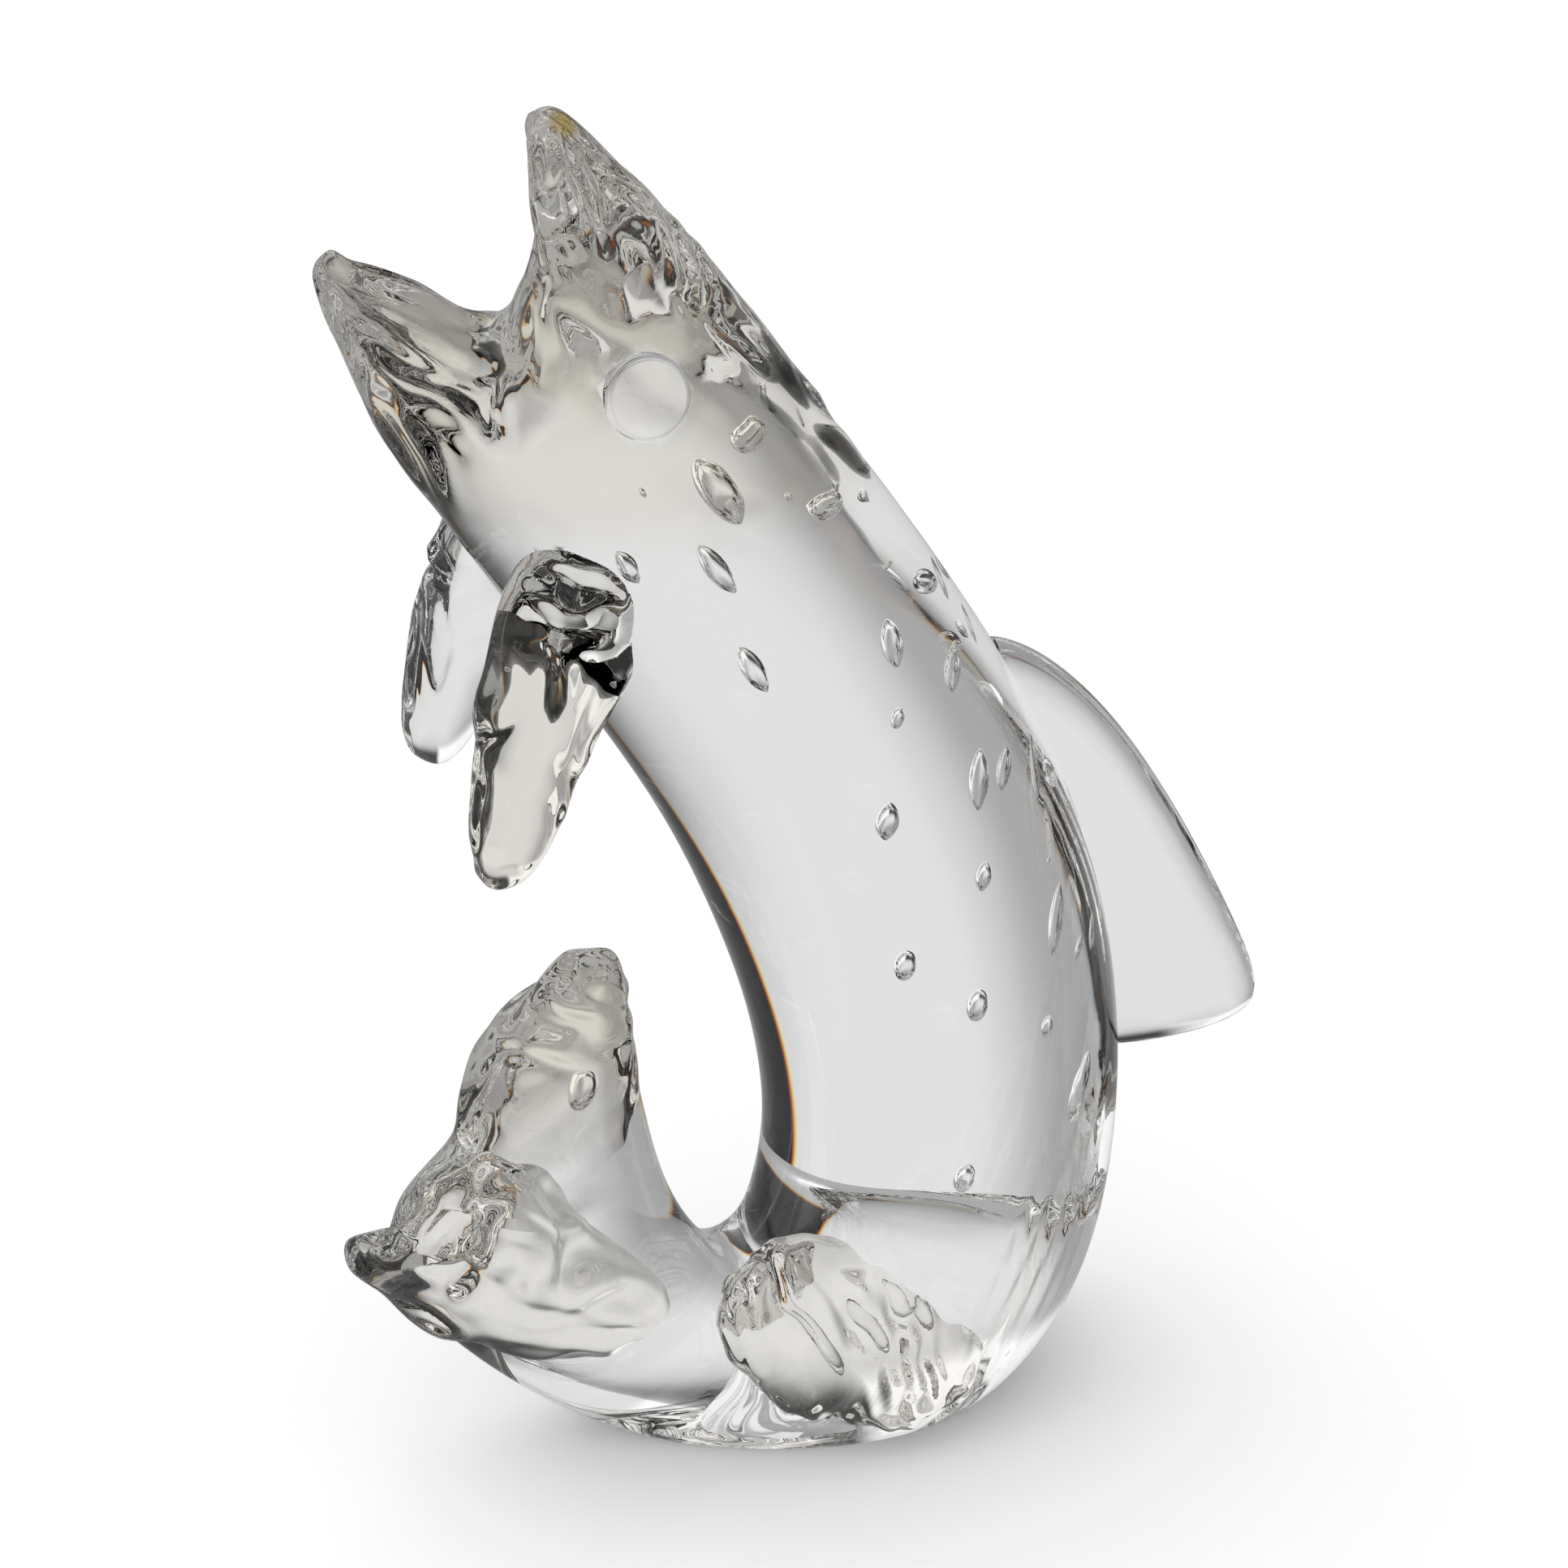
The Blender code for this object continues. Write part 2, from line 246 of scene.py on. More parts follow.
BODY_SECTIONS = (
    (in_plane(-17.5, 190.5), in_plane(-59.5, 160), GILL_WIDTH),
    (in_plane(-4.5, 172.5), in_plane(-47.5, 142), SHOULDER_WIDTH),
    (in_plane(9, 153), in_plane(-34.5, 122), SHOULDER_WIDTH),
    (in_plane(23.5, 130), in_plane(-22, 101.5), SHOULDER_WIDTH),
    (in_plane(38, 103), in_plane(-13, 79), SHOULDER_WIDTH),
    (in_plane(46, 75), in_plane(-8, 62), SHOULDER_WIDTH),
    (in_plane(48, 47), in_plane(-6, 45), SHOULDER_WIDTH),
    (in_plane(43.5, 15), in_plane(-8, 34), SEAT_WIDTH),
    (in_plane(24, -7), in_plane(-9.5, 27), SEAT_WIDTH),
    (in_plane(-8, -7), in_plane(-12, 24), HEEL_WIDTH),
    (in_plane(-30, -2), in_plane(-17, 29), STEM_WIDTH),
    (in_plane(-48, 10), in_plane(-23.5, 40), FAN_ROOT_WIDTH),
    (in_plane(-61, 24), in_plane(-27, 57), FAN_WIDTH),
)
print(len(BODY_SECTIONS), "sections from the gill to the tail")

# %% [markdown]
# ## Splitting a form in two
# The shears cut the mouth and the tail fork.  The last ring there is closed with two
# faces that meet in a line across the curl, and each face is extruded on its own, so
# both halves run on from the body without a seam, as drawn glass does.

# %% Halves
NEAREST_TO_SPLIT = 3


def half_frame(split, outer, width):
    """Frame of a half section, from its split line to its outer point."""
    return section_frame(outer, 2 * split - outer, width)


def split_cap(mesh, ring, matrix, split):
    """Close a ring with two faces, which meet in a line across the curl."""
    cap = close_ring(mesh, ring)
    inverse = matrix.inverted()
    sides = sorted(cap.verts, key=lambda vert: abs((inverse @ vert.co).x))[:2]
    _, loop = bmesh.utils.face_split(cap, sides[0], sides[1])
    middle = bmesh.utils.edge_split(loop.edge, sides[0], 0.5)[1]
    line = [*sides, middle]
    bmesh.ops.translate(mesh, vec=split - matrix.translation, verts=line)
    halves = list(middle.link_faces)
    halves.sort(key=lambda face: (inverse @ face.calc_center_median()).x)
    return halves[1], halves[0], sides


def grow_half(mesh, face, frames, scoop=0.0):
    """Extrude half of a split cap through its frames, its inside scooped."""
    for before, after in zip(frames, frames[1:]):
        made = bmesh.ops.extrude_face_region(mesh, geom=[face])["geom"]
        carry(mesh, made, before, after)
        bmesh.ops.delete(mesh, geom=[face], context="FACES_ONLY")
        face = next(item for item in made if isinstance(item, bmesh.types.BMFace))
        inverse = after.inverted()
        inner = sorted(face.verts, key=lambda vert: abs((inverse @ vert.co).x))
        inner = inner[:NEAREST_TO_SPLIT]
        middle = min(inner, key=lambda vert: abs((inverse @ vert.co).y))
        if after is not frames[-1]:
            middle.co += after.col[0].to_3d().normalized() * scoop


print("a half section has", RING_CORNERS // 2 + 2, "corners")

# %% [markdown]
# ## Body, jaws and tail
# The cage is swept from the gill to the tail.  The jaws grow from the two halves of
# the gill ring, with their insides scooped, and the lobes from those of the tail
# ring.  The belly side of the sections is squarer than the back, which keeps the dark
# line along the belly thin.  The head is turned a little away from the near flank.

# %% Body
MOUTH_WIDTH = 40 * MM
SNOUT_WIDTH = 11 * MM
CHIN_WIDTH = 12 * MM
MOUTH_SCOOP = 2.5 * MM
NEAR_MOUTH_CUT = 5.5 * MM
NEAR_MOUTH_CREASE = 0.7
HEAD_TURN = radians(15)
TURN_AXIS_X = -20 * MM
TURN_START_Z = 118 * MM
TURN_END_Z = 166 * MM
BODY_LEVELS = 4
BELLY_SQUARING = 1.22


def turn_head(item):
    """Turn what lies above the shoulder away from the near flank."""
    for vert in item.data.vertices:
        angle = HEAD_TURN * ramp(vert.co.z, TURN_START_Z, TURN_END_Z)
        arm = vert.co.x - TURN_AXIS_X
        depth = vert.co.y
        vert.co.x = TURN_AXIS_X + arm * cos(angle) + depth * sin(angle)
        vert.co.y = depth * cos(angle) - arm * sin(angle)


def make_body():
    """Body from the gill through the seat to the tail, with jaws and lobes."""
    mesh = bmesh.new()
    crease = mesh.verts.layers.float.new("crease_vert")
    frames = [section_frame(*section) for section in BODY_SECTIONS]
    gill_ring, fan_ring = sweep(mesh, frames, BELLY_SQUARING)

    corner = in_plane(-44.3, 171.2)
    back_half, belly_half, corners = split_cap(mesh, gill_ring, frames[0], corner)
    upper_jaw = (
        half_frame(corner, BODY_SECTIONS[0][0], MOUTH_WIDTH),
        half_frame(in_plane(-40.3, 190), in_plane(-23.5, 198), MOUTH_WIDTH * 0.66),
        half_frame(in_plane(-42.5, 203), in_plane(-32, 207), SNOUT_WIDTH * 1.2),
        half_frame(in_plane(-41.5, 210), in_plane(-36.5, 211.5), SNOUT_WIDTH * 0.7),
    )
    lower_jaw = (
        half_frame(corner, BODY_SECTIONS[0][1], MOUTH_WIDTH),
        half_frame(in_plane(-55.2, 182.4), in_plane(-66, 170), MOUTH_WIDTH * 0.7),
        half_frame(in_plane(-65.5, 187), in_plane(-70, 182), CHIN_WIDTH * 1.1),
        half_frame(in_plane(-68, 190), in_plane(-71, 188), CHIN_WIDTH * 0.6),
    )
    grow_half(mesh, back_half, upper_jaw, MOUTH_SCOOP)
    grow_half(mesh, belly_half, lower_jaw, MOUTH_SCOOP)
    near_corner = min(corners, key=lambda vert: vert.co.y)
    near_corner.co -= frames[0].col[2].to_3d() * NEAR_MOUTH_CUT
    near_corner[crease] = NEAR_MOUTH_CREASE

    fork = in_plane(-53, 50)
    outer_half, inner_half, _ = split_cap(mesh, fan_ring, frames[-1], fork)
    inner_lobe = (
        half_frame(fork, BODY_SECTIONS[-1][1], FAN_WIDTH),
        half_frame(in_plane(-51.3, 65.5), in_plane(-28, 70), FAN_WIDTH * 0.8),
        half_frame(in_plane(-41, 76), in_plane(-29, 78), FAN_WIDTH * 0.6),
        half_frame(in_plane(-36.5, 82), in_plane(-31.5, 82), FAN_WIDTH * 0.4),
    )
    outer_lobe = (
        half_frame(fork, BODY_SECTIONS[-1][0], FAN_WIDTH),
        half_frame(in_plane(-60, 45), in_plane(-66, 32), FAN_WIDTH * 0.7),
        half_frame(in_plane(-64, 41), in_plane(-67.5, 36), FAN_WIDTH * 0.4),
    )
    grow_half(mesh, inner_half, inner_lobe)
    grow_half(mesh, outer_half, outer_lobe)
    item = place_object(mesh, "trout_body")
    smooth_cage(item, BODY_LEVELS)
    turn_head(item)
    settle(item)
    return item


body = make_body()
print("rounded body:", len(body.data.polygons), "faces")

# %% [markdown]
# ## Marks on the head and the tail
# The flank was left to cool smooth.  Only the head, above the cheeks, and the inner
# lobe of the tail were tooled, so the dents fade in along the body.

# %% Marks on the body
HEAD_TOOLING = (151, 161)
TAIL_TOOLING = (62, 90)
TAIL_SLANT = 0.5
TAIL_START_X = -20 * MM
TAIL_TOP_Z = 95 * MM


def head_share(point):
    """How much of the head's tooling reaches a point."""
    return ramp(point.z / MM, *HEAD_TOOLING)


def tail_share(point):
    """How much of the tail's tooling reaches a point."""
    if point.x > TAIL_START_X or point.z > TAIL_TOP_Z:
        return 0.0
    return ramp(point.z / MM - point.x / MM * TAIL_SLANT, *TAIL_TOOLING)


tool_marks(body, 1.1 * MM, 8 * MM, (-0.6, 0, 0.8), 1, head_share)
tool_marks(body, 1.5 * MM, 9 * MM, (0.8, 0, 0.5), 2, tail_share)
worked_points = sum(mark.value > 0 for mark in body.data.attributes["worked"].data)
print(worked_points, "of", len(body.data.vertices), "points of the body are tooled")

# %% [markdown]
# ## Fins, tail leaf and eyes
# Each bit of added glass is its own closed form, swept like the body from an outline
# of facing points.  It is sunk into the body by a few millimetres and fused later.

# %% Added glass
DORSAL_THICKNESS = 7 * MM
PECTORAL_THICKNESS = 10 * MM
PECTORAL_SINK = 8 * MM
PECTORAL_FLARE = 5 * MM
PELVIC_THICKNESS = 15 * MM
PELVIC_SINK = 4 * MM
FAR_PELVIC_BACK = 20 * MM
FAR_PELVIC_DROP = 3 * MM
LOBE_THICKNESS = 17 * MM
LOBE_SINK = 10.5 * MM
ADDED_LEVELS = 3
NEAR_LEVELS = 4
FINGER_SHARE = 0.2
LEAF_TOOLING = (-70, -60)
FIRST_SEED = 10


def make_loft(name, outline, thickness, offset, levels=ADDED_LEVELS):
    """Closed smooth form from rows of two facing points and a thickness share."""
    mesh = bmesh.new()
    frames = [
        section_frame(in_plane(x1, z1) + offset, in_plane(x2, z2) + offset, thickness * share)
        for x1, z1, x2, z2, share in outline
    ]
    for ring in sweep(mesh, frames):
        close_ring(mesh, ring)
    item = place_object(mesh, name)
    smooth_cage(item, levels)
    return item


def make_dorsal_fin():
    """Fin along the back, thinner at its two ends."""
    outline = (
        (24, 125, 22, 119, 0.6),
        (34, 121.5, 26, 108, 1.0),
        (46, 109, 32, 92, 1.0),
        (57, 91, 34, 74, 1.0),
        (68, 68, 36, 58, 0.95),
        (73.5, 51.5, 38, 52, 0.6),
    )
    return make_loft("dorsal_fin", outline, DORSAL_THICKNESS, Vector())


def make_pectoral_fin(side):
    """Paddle that hangs from a flank, flared away from the body at its tip."""
    outline = (
        (-33, 154, -43, 156, 1.0),
        (-27.5, 147, -49, 150, 1.4),
        (-29, 136.5, -51.5, 141, 1.25),
        (-37, 126.5, -55, 130, 0.8),
        (-43, 114, -57, 116, 1.0),
        (-48.5, 103.5, -56, 105, 0.8),
    )
    seat = side * (SHOULDER_WIDTH / 2 - PECTORAL_SINK)
    levels = NEAR_LEVELS if side < 0 else ADDED_LEVELS
    fin = make_loft("pectoral_fin", outline, PECTORAL_THICKNESS, Vector((0, seat, 0)), levels)
    root_z, tip_z = outline[1][1] * MM, outline[-1][1] * MM
    for vert in fin.data.vertices:
        share = min(max((root_z - vert.co.z) / (root_z - tip_z), 0.0), 1.0)
        vert.co.y += side * PECTORAL_FLARE * sin(share * pi / 2)
    return fin


def make_pelvic_fin(side):
    """Leaf-shaped pad on the seat; the far one lies further back and lower."""
    outline = (
        (-15, 37, -21, 29, 0.5),
        (-7, 39.5, -18, 18, 0.9),
        (5, 34, -6, 6.5, 1.0),
        (17, 25.5, 7, 2.5, 0.95),
        (22, 16, 17, 6, 0.55),
    )
    offset = Vector((0, side * (SEAT_WIDTH / 2 - PELVIC_SINK), 0))
    if side > 0:
        offset += Vector((FAR_PELVIC_BACK, 0, -FAR_PELVIC_DROP))
    levels = NEAR_LEVELS if side < 0 else ADDED_LEVELS
    return make_loft("pelvic_fin", outline, PELVIC_THICKNESS, offset, levels)


def make_outer_lobe():
    """Thick leaf from the finger-like tail tip to a point on the near flank."""
    outline = (
        (-74, 43, -73.5, 38, 0.36),
        (-69, 43.5, -68.5, 34, 0.5),
        (-63, 44, -64, 29, 0.5),
        (-56, 56.5, -57, 24.5, 1.0),
        (-46, 54, -47, 19, 1.2),
        (-35, 42, -36, 18, 1.1),
        (-22, 24, -24, 20, 0.6),
    )
    seat = FAN_WIDTH / 2 + LOBE_THICKNESS / 2 - LOBE_SINK
    seat = Vector((0, -seat, 0))
    return make_loft("outer_tail_lobe", outline, LOBE_THICKNESS, seat, NEAR_LEVELS)


def leaf_share(point):
    """How much of the leaf's tooling reaches a point; its finger tip is smoother."""
    return FINGER_SHARE + (1 - FINGER_SHARE) * ramp(point.x / MM, *LEAF_TOOLING)


marks = (
    # depth and size of the dents in millimetres, the way the glass flowed,
    # how strongly it was worked, and how much of that reaches each point
    (make_dorsal_fin(), 0.25, 30, (0.3, 0, -1), 0, None),
    (make_outer_lobe(), 2.6, 8.5, (1, 0, -0.4), 0.7, leaf_share),
    (make_pectoral_fin(-1), 1.1, 8, (-0.4, 0, -1), 0.6, None),
    (make_pectoral_fin(1), 0.9, 9, (-0.4, 0, -1), 0, None),
    (make_pelvic_fin(-1), 1.5, 6.5, (0.3, 0, -1), 0.7, None),
    (make_pelvic_fin(1), 0.4, 10, (0.3, 0, -1), 0, None),
)
added = []
for number, (item, depth, size, flow, rings, share) in enumerate(marks):
    settle(item)
    tool_marks(item, depth * MM, size * MM, flow, FIRST_SEED + number, share, rings)
    added.append(item)
print(len(added), "fins and lobes")

# %% [markdown]
# ## Eyes
# An eye is a small disc of glass pressed on the cheek.  A cone with equal radii is
# a cylinder, and a bevel of its rims gives the soft edge that catches a thin line.

# %% Eyes
EYE_DIAMETER = 12.4 * MM
EYE_PROUD = 1.2 * MM
EYE_DEPTH = 6 * MM
EYE_ROUNDING = 1.0 * MM
EYE_SEGMENTS = 96
EYE_RIM_SEGMENTS = 6
EYE_ANGLE = radians(26)
EYE_BACK = 8.5 * MM


def make_eye(side):
    """Low round disc on a cheek, square to the glass and with a rounded rim."""
    mesh = bmesh.new()
    radius = EYE_DIAMETER / 2
    bmesh.ops.create_cone(
        mesh, cap_ends=True, segments=EYE_SEGMENTS, radius1=radius, radius2=radius, depth=EYE_DEPTH
    )
    rims = [e for e in mesh.edges if abs(e.verts[0].co.z - e.verts[1].co.z) < EYE_DEPTH / 2]
    bmesh.ops.bevel(
        mesh,
        geom=rims,
        offset=EYE_ROUNDING,
        segments=EYE_RIM_SEGMENTS,
        profile=0.5,
        affect="EDGES",
        material=-1,
    )
    back, belly, width = BODY_SECTIONS[0]
    across = (back - belly) / 2
    lateral = Vector((0, side * width / 2, 0))
    tailward = across.normalized().cross(Vector((0, -1, 0)))
    cheek = across * sin(EYE_ANGLE) + lateral * cos(EYE_ANGLE)
    outward = (
        across / across.length_squared * sin(EYE_ANGLE)
        + lateral / lateral.length_squared * cos(EYE_ANGLE)
    ).normalized()
    seat = (back + belly) / 2 + cheek + tailward * EYE_BACK
    seat += outward * (EYE_PROUD - EYE_DEPTH / 2)
    turn = outward.to_track_quat("Z", "Y").to_matrix().to_4x4()
    bmesh.ops.transform(mesh, matrix=Matrix.Translation(seat) @ turn, verts=mesh.verts)
    eye = place_object(mesh, "eye")
    turn_head(eye)
    return eye


added += [make_eye(-1), make_eye(1)]
print("two eyes of", round(EYE_DIAMETER / MM, 1), "mm")

# %% [markdown]
# ## Fuse and grind
# Hot glass fuses where it touches, so the forms become one closed surface with a
# Boolean union, and the underside is then ground flat by taking away a block.  Every
# form is closed, so the solver for closed forms is used: it leaves no open edge.

# %% Fuse and grind
CREASE_ANGLE = radians(24)
GROUND_Z = 0.0
BLOCK_SIZE = 0.3


def fuse(item, tools, ground_z):
    """One closed mesh of a form and the bits fused to it, ground flat below."""
    bits = bpy.data.collections.new("bits")
    bpy.context.scene.collection.children.link(bits)
    for tool in tools:
        bits.objects.link(tool)
    union = item.modifiers.new("fuse", "BOOLEAN")
    union.operation = "UNION"
    union.operand_type = "COLLECTION"
    union.solver = "MANIFOLD"
    union.collection = bits
    mesh = bmesh.new()
    bmesh.ops.create_cube(mesh, size=1.0)
    place = Matrix.Translation((0, 0, ground_z - BLOCK_SIZE / 2)) @ Matrix.Scale(BLOCK_SIZE, 4)
    bmesh.ops.transform(mesh, matrix=place, verts=mesh.verts)
    block = place_object(mesh, "ground_block")
    grind = item.modifiers.new("grind", "BOOLEAN")
    grind.operation = "DIFFERENCE"
    grind.solver = "MANIFOLD"
    grind.object = block
    graph = bpy.context.evaluated_depsgraph_get()
    data = bpy.data.meshes.new_from_object(item.evaluated_get(graph))
    for tool in [*tools, block, item]:
        bpy.data.objects.remove(tool)
    bpy.data.collections.remove(bits)
    return data


trout_mesh = fuse(body, added, GROUND_Z)
trout_mesh.name = "clear_trout"
trout = bpy.data.objects.new("clear_trout", trout_mesh)
bpy.context.scene.collection.objects.link(trout)
trout_mesh.shade_smooth()
trout_mesh.set_sharp_from_angle(angle=CREASE_ANGLE)
check = bmesh.new()
check.from_mesh(trout_mesh)
open_edges = sum(not edge.is_manifold for edge in check.edges)
volume = check.calc_volume() / CM ** 3
check.free()
print("fused glass:", len(trout_mesh.polygons), "faces, open edges:", open_edges)
print("volume:", round(volume), "cm3")

# %% [markdown]
# ## Folds and pincer marks
# The fins, the lobes and the head were pinched and folded while soft, and each steep
# little slope there bends the view far aside, so it shows black or bright.  A mark is
# a packet of waves pressed into the skin: a long wave in a small reach makes one
# steep fold, a short wave makes a row of ripples.  The marks sit where the
# photograph shows them, found by a ray from the camera.

# %% Folds and pincer marks
PRESSED = (
    # across and down in the photograph, reach along and across the wave,
    # direction in which the first slope rises, wave length, slope
    (590, 1535, 52, 56, 5, 300, 1.30), (650, 1560, 34, 44, 0, 110, 1.00),
    (700, 1540, 70, 45, 105, 90, 0.60),
    (470, 1530, 24, 16, 0, 100, 1.20), (716, 1206, 34, 34, -15, 110, 1.20),
    (700, 1252, 45, 60, 60, 50, 0.90), (655, 1297, 13, 48, 72, 70, 1.00),
    (700, 760, 60, 48, 80, 60, 0.80), (600, 975, 24, 50, 0, 120, 1.30),
    (684, 822, 18, 62, 0, 90, 1.20), (688, 1000, 15, 20, 0, 60, 1.00),
    (625, 1070, 26, 26, 90, 34, 0.60), (520, 800, 20, 120, 0, 100, 1.30),
    (530, 690, 16, 30, 30, 80, 1.20), (664, 205, 17, 28, 0, 90, 1.50),
    (722, 235, 9, 52, 24, 60, 1.50), (700, 315, 24, 11, 90, 34, 0.80),
    (850, 320, 45, 75, 15, 44, 0.70), (480, 420, 45, 75, 60, 50, 0.80),
    (618, 500, 12, 46, 0, 70, 1.30), (962, 1590, 18, 38, 8, 100, 1.40),
    (1004, 1645, 22, 52, 31, 110, 1.50), (1064, 1625, 42, 60, 42, 60, 0.90),
    (1118, 1680, 46, 72, 5, 30, 1.20), (1275, 1555, 46, 180, -26, 34, 1.10),
    (1335, 1400, 26, 100, -8, 32, 0.90),
)
FOLD_DEPTH = 7 * MM
FACING_START = 0.15
FACING_RANGE = 0.35
LEAST_SHARE = 0.004
WORKED_GAIN = 0.4
WOBBLE = 0.3
WOBBLE_REACH = 1.2
GRAIN_ACROSS = 0.5
GRAIN_LENGTH = 0.3


def photo_ray(x, y):
    """Direction of the camera's ray through a pixel of the photograph."""
    step = SENSOR_MM / LENS_MM / PHOTO_SIDE
    half = PHOTO_SIDE / 2
    ray = Vector(((x - half) * step, (half - y) * step, -1.0))
    turn = camera.rotation_euler.to_matrix()
    return (turn @ ray).normalized()


def find_skin(data):
    """Search tree of a mesh, for rays."""
    places = [vert.co for vert in data.vertices]
    return BVHTree.FromPolygons(places, [face.vertices for face in data.polygons])


def press(places, normals, worked, skin, row):
    """Press a packet of waves into the near side of the glass at a pixel."""
    x, y, along, across, angle, length, slope = row
    hit, normal, _, distance = skin.ray_cast(camera.location, photo_ray(x, y))
    if hit is None:
        print("no glass at", x, y)
        return
    pixel = distance * SENSOR_MM / LENS_MM / PHOTO_SIDE
    right = camera.rotation_euler.to_matrix().col[0]
    right = (right - normal * right.dot(normal)).normalized()
    up = normal.cross(right)
    wave_axis = right * cos(radians(angle)) + up * sin(radians(angle))
    row_axis = normal.cross(wave_axis)
    along, across, length = along * pixel, across * pixel, length * pixel
    arms = places - np.array(hit)
    facing = normals @ np.array(normal)
    near = np.abs(arms @ np.array(normal)) < FOLD_DEPTH
    u, v = arms @ np.array(wave_axis), arms @ np.array(row_axis)
    share = np.exp(-(u / along) ** 2 - (v / across) ** 2)
    share *= np.clip((facing - FACING_START) / FACING_RANGE, 0, 1) * near
    wobble = WOBBLE * min(length, WOBBLE_REACH * along)
    grain = GRAIN_ACROSS * across + GRAIN_LENGTH * length
    for number in np.flatnonzero(share > LEAST_SHARE):
        place = places[number]
        shift = u[number] + wobble * noise.noise(Vector(place) / grain)
        height = slope * length / (2 * pi) * sin(2 * pi * shift / length)
        places[number] = place + normals[number] * height * share[number]
        worked[number] = max(worked[number], share[number] * WORKED_GAIN)


def press_all(data):
    """Press all folds into the glass."""
    skin = find_skin(data)
    count = len(data.vertices)
    places, normals = np.empty((2, count * 3))
    worked = np.empty(count)
    data.vertices.foreach_get("co", places)
    data.vertices.foreach_get("normal", normals)
    data.attributes["worked"].data.foreach_get("value", worked)
    places, normals = places.reshape(-1, 3), normals.reshape(-1, 3)
    for row in PRESSED:
        press(places, normals, worked, skin, row)
    data.vertices.foreach_set("co", places.ravel())
    data.attributes["worked"].data.foreach_set("value", worked)
    data.update()


press_all(trout_mesh)
print(len(PRESSED), "folds pressed")

# %% [markdown]
# ## Bubbles
# Air was let into the gather on purpose and drawn out with it, so the bubbles are
# almonds that point along the flank.  In the mesh a bubble is a second, inner skin
# whose faces point into its air, so a ray of light leaves the glass there and comes
# back in.  Each one is set by its place in the photograph: the camera's ray is bent
# as glass bends it and followed a few millimetres under the skin.

# %% Bubbles
GLASS_IOR = 1.52
BUBBLE_SEGMENTS = 24
BUBBLE_RINGS = 14
LONG_RATIO = 1.4
TAPER_POWER = 0.28
NARROW_GAIN = 0.9
BUBBLES = (
    # across and down in the photograph, half width and half length in its pixels,
    # tilt in degrees, depth under the skin in millimetres
    (918, 542, 20, 20, 0, 9), (884, 604, 26, 52, -54, 9), (971, 613, 7, 7, 0, 9),
    (1018, 622, 18, 24, 0, 9), (790, 608, 5, 8, -60, 9), (774, 699, 12, 25, -56, 9),
    (884, 703, 15, 38, -50, 9), (928, 825, 15, 36, -58, 9), (1094, 697, 4, 8, 30, 9),
    (1158, 712, 8, 28, -62, 5), (1194, 768, 6, 26, -62, 4), (1099, 793, 16, 32, -68, 9),
    (1179, 796, 9, 10, 0, 9), (1173, 826, 14, 26, -82, 9), (1106, 885, 10, 13, 90, 9),
    (1206, 961, 16, 38, -84, 9), (1237, 947, 12, 26, 90, 9), (1275, 945, 9, 39, -80, 6),
    (1094, 1012, 17, 25, 90, 9), (1212, 1080, 12, 19, 90, 9), (1301, 1133, 12, 45, 90, 6),
    (1345, 1147, 6, 24, 90, 4), (1329, 1167, 6, 16, 80, 4), (1115, 1190, 15, 20, 90, 9),
    (1204, 1239, 15, 21, 90, 9), (1290, 1265, 9, 15, 90, 7), (1335, 1338, 14, 46, 82, 5),
    (1189, 1452, 14, 19, 80, 9), (720, 1343, 20, 28, 80, 7), (1292, 1060, 3, 5, 80, 6),
)


def refract(ray, normal, ratio):
    """Direction of a ray after it enters the glass."""
    incidence = -ray.dot(normal)
    inner = 1 - ratio * ratio * (1 - incidence * incidence)
    return (ratio * ray + (ratio * incidence - inner ** 0.5) * normal).normalized()


def add_bubble(mesh, skin, row):
    """Almond-shaped bubble seen at a pixel of the photograph, at a depth in the glass."""
    x, y, narrow, long, tilt, depth = row
    ray = photo_ray(x, y)
    hit, normal, _, distance = skin.ray_cast(camera.location, ray)
    if hit is None:
        print("no glass at", x, y)
        return
    inside = refract(ray, normal, 1 / GLASS_IOR)
    seat = hit + inside * depth * MM
    pixel = distance * SENSOR_MM / LENS_MM / PHOTO_SIDE
    turn = camera.rotation_euler.to_matrix()
    axis = turn @ Vector((cos(radians(tilt)), sin(radians(tilt)), 0))
    frame_turn = axis.to_track_quat("Z", "Y").to_matrix().to_4x4()
    ball = bmesh.ops.create_uvsphere(
        mesh, u_segments=BUBBLE_SEGMENTS, v_segments=BUBBLE_RINGS, radius=1.0
    )["verts"]
    if long > narrow * LONG_RATIO:
        for vert in ball:
            taper = max(1 - vert.co.z * vert.co.z, 0.0) ** TAPER_POWER
            vert.co.x *= taper
            vert.co.y *= taper
    half_width = narrow * pixel * NARROW_GAIN
    size = Matrix.Diagonal((half_width, half_width, long * pixel, 1))
    place = Matrix.Translation(seat) @ frame_turn @ size
    bmesh.ops.transform(mesh, matrix=place, verts=ball)


def add_bubbles(data):
    """Join all bubbles to the glass as inner surfaces that face the air inside."""
    skin = find_skin(data)
    mesh = bmesh.new()
    for row in BUBBLES:
        add_bubble(mesh, skin, row)
    bmesh.ops.recalc_face_normals(mesh, faces=mesh.faces)
    bmesh.ops.reverse_faces(mesh, faces=mesh.faces)
    for face in mesh.faces:
        face.smooth = True
    mesh.from_mesh(data)
    mesh.to_mesh(data)
    mesh.free()


add_bubbles(trout_mesh)
print(len(BUBBLES), "bubbles, with them:", len(trout_mesh.polygons), "faces")

# %% [markdown]
# ## Crystal
# Clear glass has almost no colour of its own.  Where it was worked with tools it is a
# little warmer and its skin is finely ringed, so the attribute that the tool marks
# wrote, which runs from 0 to 1, mixes in a warm tint and a low bump of nested rings.
# Three small helpers build the nodes, here and in the studio.

